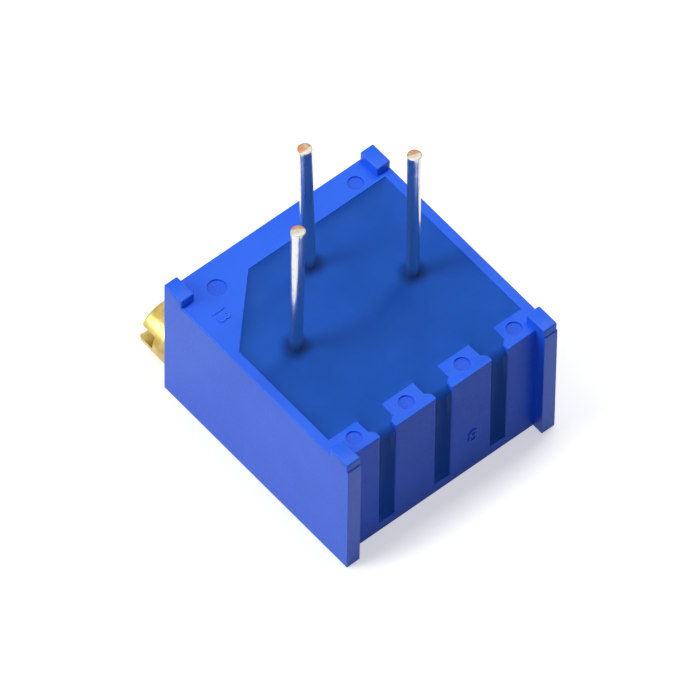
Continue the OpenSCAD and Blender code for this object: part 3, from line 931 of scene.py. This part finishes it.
@dataclass
class TinnedLead:
    """One wire lead, which leans as it was left and ends in a sheared, domed tip.

    The shares say how far up the straight wire its rings lie. Each pair of flares is a
    ring's distance below the tip and its share of the burr, and each pair of dome is the
    inset and the rise of a ring on the cut.
    """

    number: int
    foot: Pair
    lean: Pair
    cut_turn: float
    copper_from: float
    sides: int = 40
    foot_z: float = 2.85
    bend_z: float = 5.495
    bend_half: float = 0.15
    shares: Triple = (0.25, 0.5, 0.75)
    tip_z: float = 12.60
    burr: float = 0.018
    flares: tuple[Pair, ...] = (
        (0.80, 0.0), (0.60, 0.15), (0.40, 0.45), (0.22, 0.8), (0.10, 1.0), (0.03, 0.9))
    dome: tuple[Pair, ...] = ((0.03, 0.020), (0.045, 0.010), (0.055, 0.005), (0.05, 0.002))
    cut_slope: float = 0.10
    slope_reach: float = 0.30

    def build(self, look: Look) -> bpy.types.Object:
        """Builds the wire in place of its CAD node.

        Args:
            look: Finishes of the part.

        Returns:
            The wire.
        """
        bm = bmesh.new()
        bmesh.ops.create_circle(
            bm, cap_ends=True, segments=self.sides, radius=WIRE_RADIUS * MM,
            matrix=Matrix.Translation(Vector((*self.foot, self.foot_z)) * MM))
        ends = list(bm.edges)
        height = self.tip_z - self.bend_z
        rings = [(self.bend_z + side * self.bend_half, 0.0) for side in (-1, 1)]
        rings += [(self.bend_z + height * share, 0.0) for share in self.shares]
        rings += [(self.tip_z - drop, flare) for drop, flare in self.flares]
        low, centre, radius = self.foot_z, Vector(self.foot), WIRE_RADIUS
        for z, flare in rings:
            made = bmesh.ops.extrude_edge_only(bm, edges=ends)["geom"]
            verts = [g for g in made if isinstance(g, bmesh.types.BMVert)]
            ends = [g for g in made if isinstance(g, bmesh.types.BMEdge)]
            share = max(0.0, (z - self.bend_z) / height)
            target = Vector([at + lean * share for at, lean in zip(self.foot, self.lean)])
            wide = WIRE_RADIUS + self.burr * flare
            step = target - centre
            grow = Matrix.Scale(wide / radius, 4)
            grow[Z][Z] = 1.0
            middle = Matrix.Translation((centre.x * MM, centre.y * MM, 0.0))
            move = Matrix.Translation(Vector((step.x, step.y, z - low)) * MM)
            bmesh.ops.transform(bm, matrix=move @ middle @ grow @ middle.inverted(), verts=verts)
            low, centre, radius = z, target, wide
        self.close_tip(bm, ends, centre)
        bmesh.ops.recalc_face_normals(bm, faces=bm.faces)
        finishes = {Tip.TINNED: look.tin, Tip.COPPER: look.copper, Tip.SMEARED: look.smear}
        return publish(
            bm, f"lead_wire_{self.number}", Body.HOUSING, finishes.values(),
            f"lead_{self.number}", sharp=ROUND_SHARP)

    def close_tip(
        self, bm: bmesh.types.BMesh, ends: list[bmesh.types.BMEdge], centre: Vector
    ) -> None:
        """Closes the wire with the sloping, slightly domed cut.

        Args:
            bm: Mesh of the wire.
            ends: Open ring of edges at its top.
            centre: Middle of that ring, in millimetres.
        """
        cap = bmesh.ops.contextual_create(bm, geom=ends)["faces"]
        turn = math.radians(self.cut_turn)
        slope = Vector((math.cos(turn), math.sin(turn)))
        for inset, rise in self.dome:
            bmesh.ops.inset_region(bm, faces=cap, thickness=inset * MM)
            bmesh.ops.translate(
                bm, vec=(0.0, 0.0, rise * MM), verts=list({v for f in cap for v in f.verts}))
        bmesh.ops.poke(bm, faces=cap)
        cut_z = self.tip_z - self.flares[-1][0]
        for f in bm.faces:
            middle = f.calc_center_median() / MM
            if middle.z > cut_z:
                bare = (centre - middle.xy).dot(slope) > self.copper_from
                f.material_index = Tip.COPPER if bare else Tip.SMEARED
        top_z = (self.tip_z - self.slope_reach) * MM
        for v in (v for v in bm.verts if v.co.z > top_z):
            away = Vector((v.co.x / MM, v.co.y / MM)) - centre
            share = (v.co.z - top_z) / (self.slope_reach * MM)
            v.co.z += away.dot(slope) * self.cut_slope * share * MM


@dataclass
class ScrewPiece:
    """The brass adjusting screw, its head's edges just broken."""

    head_end: float = -5.06
    edge: float = 0.022
    least_angle: float = 30.0
    least_edge: float = 0.03

    def is_head(self, p: Vector) -> bool:
        """Tells whether a point in millimetres lies on the head outside the housing."""
        return p.x < self.head_end

    def build(self, look: Look) -> bpy.types.Object:
        """Builds the screw in place of its CAD node.

        Args:
            look: Finishes of the part.

        Returns:
            The screw.
        """
        bm = merged_copy("adjusting_screw")
        count = round_edges(bm, self.edge, self.is_head, self.least_angle, self.least_edge)
        log.info("screw_turned: %d edges rounded", count)
        return publish(
            bm, "screw_turned", Body.SCREW, [look.brass], "adjusting_screw")


@dataclass
class MouldNumber:
    """A plain raised number that the mould leaves on the housing."""

    name: str
    digits: str
    height: float
    place: Triple
    turn: Triple
    coarse_shaded: bool = False
    font_size: float = 1.4
    relief: float = 0.03
    sink: float = 0.02
    edge: float = 0.010

    def build(self, look: Look) -> bpy.types.Object:
        """Builds the number, standing out of the surface by its relief.

        Args:
            look: Finishes of the part.

        Returns:
            The number, in the skin of the face that it stands on.
        """
        curve = bpy.data.curves.new(self.name, "FONT")
        curve.body = self.digits
        curve.align_x = "CENTER"
        curve.align_y = "CENTER"
        curve.size = self.height * self.font_size * MM
        curve.extrude = (self.relief + self.sink) / 2 * MM
        curve.bevel_depth = self.edge * MM
        curve.bevel_resolution = 1
        text = bpy.data.objects.new(self.name, curve)
        bpy.context.collection.objects.link(text)
        bpy.context.view_layer.update()
        mesh = bpy.data.meshes.new_from_object(text)
        bpy.data.objects.remove(text)
        bm = bmesh.new()
        bm.from_mesh(mesh)
        bpy.data.meshes.remove(mesh)
        bmesh.ops.remove_doubles(bm, verts=bm.verts, dist=MERGE)
        place = Matrix.Translation(Vector(self.place) * MM)
        for axis, angle in zip("ZYX", reversed(self.turn)):
            place = place @ Matrix.Rotation(math.radians(angle), 4, axis)
        lift = Matrix.Translation((0.0, 0.0, (self.relief - self.sink) / 2 * MM))
        bmesh.ops.transform(bm, matrix=place @ lift, verts=bm.verts)
        bmesh.ops.recalc_face_normals(bm, faces=bm.faces)
        # A number on the slotted face takes that face's skin, darkened by painted shade
        skin = look.coarse_shaded if self.coarse_shaded else look.nylon
        return publish(bm, self.name, Body.HOUSING, [skin])


@dataclass
class InnerParts:
    """The hidden parts, which keep their CAD shapes and get their finishes."""

    def dress(self, look: Look) -> None:
        """Gives each carried-over node its material.

        Args:
            look: Finishes of the part.
        """
        finishes = {
            "substrate": look.alumina, "resistive_track": look.cermet,
            "collector_film": look.silver, "end_film_1": look.silver,
            "end_film_3": look.silver, "solder_joint_1": look.solder,
            "solder_joint_2": look.solder, "solder_joint_3": look.solder,
            "o_ring": look.rubber, "screw_clip": look.steel, "rotor": look.resin,
            "wiper": look.spring,
        }
        for node, material in finishes.items():
            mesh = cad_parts[node].data
            mesh.materials.clear()
            mesh.materials.append(material)
            log.info("%s: dressed in %s", node, material.name)


@dataclass
class StudioCamera:
    """A long lens at the photograph's angle."""

    azimuth: float = 49.347
    elevation: float = 55.016
    roll: float = 0.852
    target: Triple = (-0.4427, -0.0792, 3.0)
    distance: float = 600.0
    lens: float = 881.35
    sensor: float = 36.0
    clip: Pair = (50.0, 10000.0)

    def build(self) -> bpy.types.Object:
        """Makes the scene's camera.

        Returns:
            The camera.
        """
        a, e, r = (math.radians(v) for v in (self.azimuth, self.elevation, self.roll))
        back = Vector((math.sin(a) * math.cos(e), -math.cos(a) * math.cos(e), math.sin(e)))
        right = Vector((math.cos(a), math.sin(a), 0.0))
        up = back.cross(right)
        turned_right = math.cos(r) * right + math.sin(r) * up
        turned_up = math.cos(r) * up - math.sin(r) * right
        data = bpy.data.cameras.new("studio_camera")
        data.sensor_width = self.sensor
        data.lens = self.lens
        data.clip_start = self.clip[0] * MM
        data.clip_end = self.clip[1] * MM
        camera = bpy.data.objects.new("studio_camera", data)
        bpy.context.collection.objects.link(camera)
        turn = Matrix((turned_right, turned_up, back)).transposed().to_4x4()
        eye = (Vector(self.target) + back * self.distance) * MM
        camera.matrix_world = Matrix.Translation(eye) @ turn
        bpy.context.scene.camera = camera
        return camera


@dataclass
class SoftBox:
    """One flat lamp with a diffuser, its length as near to Y as its aim allows.

    Its level is the brightness that it alone gives a white sheet which faces it at the part.
    """

    name: str
    across: float
    along: float
    place: Triple
    level: float

    def build(self) -> bpy.types.Object:
        """Makes the lamp, aimed at the part.

        Returns:
            The lamp.
        """
        data = bpy.data.lights.new(self.name, "AREA")
        data.shape = "RECTANGLE"
        data.size = self.across * MM
        data.size_y = self.along * MM
        away = Vector(self.place) * MM
        data.energy = self.level * math.pi ** 2 * away.length_squared
        lamp = bpy.data.objects.new(self.name, data)
        bpy.context.collection.objects.link(lamp)
        lamp.location = away
        back = away.normalized()
        side = Vector((0.0, 1.0, 0.0)).cross(back).normalized()
        turn = Matrix((side, back.cross(side), back)).transposed()
        lamp.rotation_mode = "QUATERNION"
        lamp.rotation_quaternion = turn.to_quaternion()
        lamp.visible_camera = False
        return lamp


@dataclass
class Studio:
    """A pale floor, soft lamps and a pale room."""

    room_level: float = 0.25
    floor_side: float = 900.0
    floor_drop: float = 0.004
    floor_colour: str = "#E7E7E7"
    floor_bounce: str = "#A0A0A0"
    floor_lift: float = 0.48
    lamps: tuple[SoftBox, ...] = (
        SoftBox("strip_lamp", 66.0, 600.0, (-59.0, 30.0, 300.0), 0.83),
        SoftBox("fill_lamp", 200.0, 200.0, (-160.0, -300.0, 170.0), 0.47),
    )

    def floor(self) -> bpy.types.Object:
        """Makes the floor, which shows white but keeps the part's shadow.

        Returns:
            The floor.
        """
        bm = bmesh.new()
        bmesh.ops.create_grid(bm, x_segments=1, y_segments=1, size=self.floor_side / 2 * MM)
        bmesh.ops.translate(bm, vec=(0.0, 0.0, -self.floor_drop * MM), verts=bm.verts)
        mesh = bpy.data.meshes.new("floor")
        bm.to_mesh(mesh)
        bm.free()
        material = bpy.data.materials.new("paper_sheet_white")
        material.use_nodes = True
        tree = material.node_tree
        tree.nodes.clear()
        seen = self.seen_directly(tree)
        tone = add_node(tree, "ShaderNodeMix", {
            "data_type": "RGBA", MIX_FROM: linear(self.floor_bounce),
            MIX_TO: linear(self.floor_colour),
        }, {"Factor": seen})
        sheet = add_node(
            tree, "ShaderNodeBsdfDiffuse", links={"Color": tone.outputs[MIX_RESULT]})
        lift = add_node(
            tree, "ShaderNodeMath", {"operation": "MULTIPLY", 1: self.floor_lift}, {0: seen})
        glow = add_node(tree, "ShaderNodeEmission", links={"Strength": lift.outputs["Value"]})
        both = add_node(
            tree, "ShaderNodeAddShader",
            links={0: sheet.outputs["BSDF"], 1: glow.outputs["Emission"]})
        add_node(tree, "ShaderNodeOutputMaterial", links={"Surface": both.outputs["Shader"]})
        mesh.materials.append(material)
        plane = bpy.data.objects.new("floor", mesh)
        bpy.context.collection.objects.link(plane)
        return plane

    def seen_directly(self, tree: Tree) -> Socket:
        """Adds the test for a ray from the camera, a mirror or a clear body.

        Args:
            tree: Node tree that it goes into.

        Returns:
            1 for such a ray, 0 for the light's other ways.
        """
        path = add_node(tree, "ShaderNodeLightPath")
        first = add_node(tree, "ShaderNodeMath", {"operation": "MAXIMUM"}, {
            0: path.outputs["Is Camera Ray"], 1: path.outputs["Is Glossy Ray"]})
        last = add_node(tree, "ShaderNodeMath", {"operation": "MAXIMUM"}, {
            0: first.outputs["Value"], 1: path.outputs["Is Transmission Ray"]})
        return last.outputs["Value"]

    def room(self) -> None:
        """Makes the pale room, white where it is seen and soft where it lights."""
        world = bpy.data.worlds.new("pale_room")
        world.use_nodes = True
        tree = world.node_tree
        tree.nodes.clear()
        level = add_node(tree, "ShaderNodeMapRange", {
            "From Min": 0.0, "From Max": 1.0, "To Min": self.room_level, "To Max": 1.0,
        }, {"Value": self.seen_directly(tree)})
        glow = add_node(
            tree, "ShaderNodeBackground", {"Color": (1.0, 1.0, 1.0, 1.0)},
            {"Strength": level.outputs["Result"]})
        add_node(tree, "ShaderNodeOutputWorld", links={"Surface": glow.outputs["Background"]})
        bpy.context.scene.world = world

    def build(self) -> None:
        """Builds the floor, the lamps and the room."""
        self.floor()
        for lamp in self.lamps:
            lamp.build()
        self.room()
        bpy.context.scene.view_settings.view_transform = "Standard"


@dataclass
class Trimmer:
    """The whole part: what is seen, and what is dressed behind it."""

    shell: HousingShell = field(default_factory=HousingShell)
    potting: CastPotting = field(default_factory=CastPotting)
    screw: ScrewPiece = field(default_factory=ScrewPiece)
    inside: InnerParts = field(default_factory=InnerParts)
    leads: tuple[TinnedLead, ...] = (
        TinnedLead(1, LEAD_FEET[0], (0.04, 0.0), cut_turn=-35.0, copper_from=0.06),
        TinnedLead(2, LEAD_FEET[1], (-0.10, -0.17), cut_turn=5.0, copper_from=-0.07),
        TinnedLead(3, LEAD_FEET[2], (-0.04, 0.01), cut_turn=-20.0, copper_from=0.02),
    )
    numbers: tuple[MouldNumber, ...] = (
        MouldNumber("mould_number_corner", "13", 0.50, (-2.98, -3.88, RIM_Z), (0.0, 0.0, 0.0)),
        MouldNumber(
            "mould_number_column", "8", 0.68, (FACE_X, 1.36, 1.94), (90.0, 0.0, 90.0),
            coarse_shaded=True),
    )

    def build(self, look: Look) -> None:
        """Builds every piece in order.

        Args:
            look: Finishes of the part.
        """
        self.shell.build(look)
        self.potting.build(look)
        for lead in self.leads:
            lead.build(look)
        self.screw.build(look)
        for number in self.numbers:
            number.build(look)
        self.inside.dress(look)


def main() -> None:
    """Builds the studio and the part."""
    logging.basicConfig(level=logging.INFO, format="%(message)s")
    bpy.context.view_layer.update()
    StudioCamera().build()
    Studio().build()
    Trimmer().build(Look())
    bpy.context.view_layer.update()


if __name__ == "__main__":
    main()
